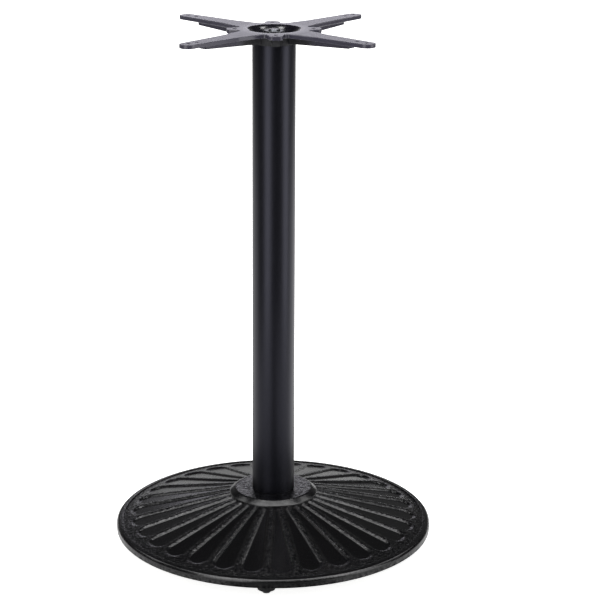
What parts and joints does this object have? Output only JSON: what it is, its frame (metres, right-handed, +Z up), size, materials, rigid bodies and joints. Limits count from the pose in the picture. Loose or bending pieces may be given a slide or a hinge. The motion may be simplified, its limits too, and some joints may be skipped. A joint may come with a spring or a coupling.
{
  "type": "round table base",
  "caption": "Round cast table base with a sunburst foot on levelling feet, a tube column and a cast spider of arms and lugs that carries a table top.",
  "frame": {"origin": "on the floor, on the axis of the column", "axes": "+Z up along the column, -Y to the front, arms of the spider on the diagonals of X and Y"},
  "size_m": [0.44, 0.44, 0.72],
  "materials": {
    "cast_iron_black": "black powder coat with a fine cast grain",
    "column_black": "smooth satin black powder coat",
    "spider_black": "satin dark grey paint on cast metal",
    "zinc_steel": "bright zinc plate",
    "glide_plastic": "moulded black plastic"
  },
  "bodies": {
    "frame": {"base_casting": "cast_iron_black", "column_tube": "column_black", "top_spider": "spider_black", "tie_rod": "zinc_steel", "top_washer": "zinc_steel", "top_lock_washer": "zinc_steel", "top_nut": "zinc_steel", "bottom_washer": "zinc_steel", "bottom_lock_washer": "zinc_steel", "bottom_nut": "zinc_steel"},
    "foot_1": {"foot_pad_1": "glide_plastic", "foot_stud_1": "zinc_steel"},
    "foot_2": {"foot_pad_2": "glide_plastic", "foot_stud_2": "zinc_steel"},
    "foot_3": {"foot_pad_3": "glide_plastic", "foot_stud_3": "zinc_steel"},
    "foot_4": {"foot_pad_4": "glide_plastic", "foot_stud_4": "zinc_steel"}
  },
  "joints": [
    {"name": "foot_1_level", "type": "slide", "parent": "frame", "child": "foot_1", "axis": [0, 0, 1], "range_m": [-0.004, 0.0035]},
    {"name": "foot_2_level", "type": "slide", "parent": "frame", "child": "foot_2", "axis": [0, 0, 1], "range_m": [-0.004, 0.0035]},
    {"name": "foot_3_level", "type": "slide", "parent": "frame", "child": "foot_3", "axis": [0, 0, 1], "range_m": [-0.004, 0.0035]},
    {"name": "foot_4_level", "type": "slide", "parent": "frame", "child": "foot_4", "axis": [0, 0, 1], "range_m": [-0.004, 0.0035]}
  ]
}
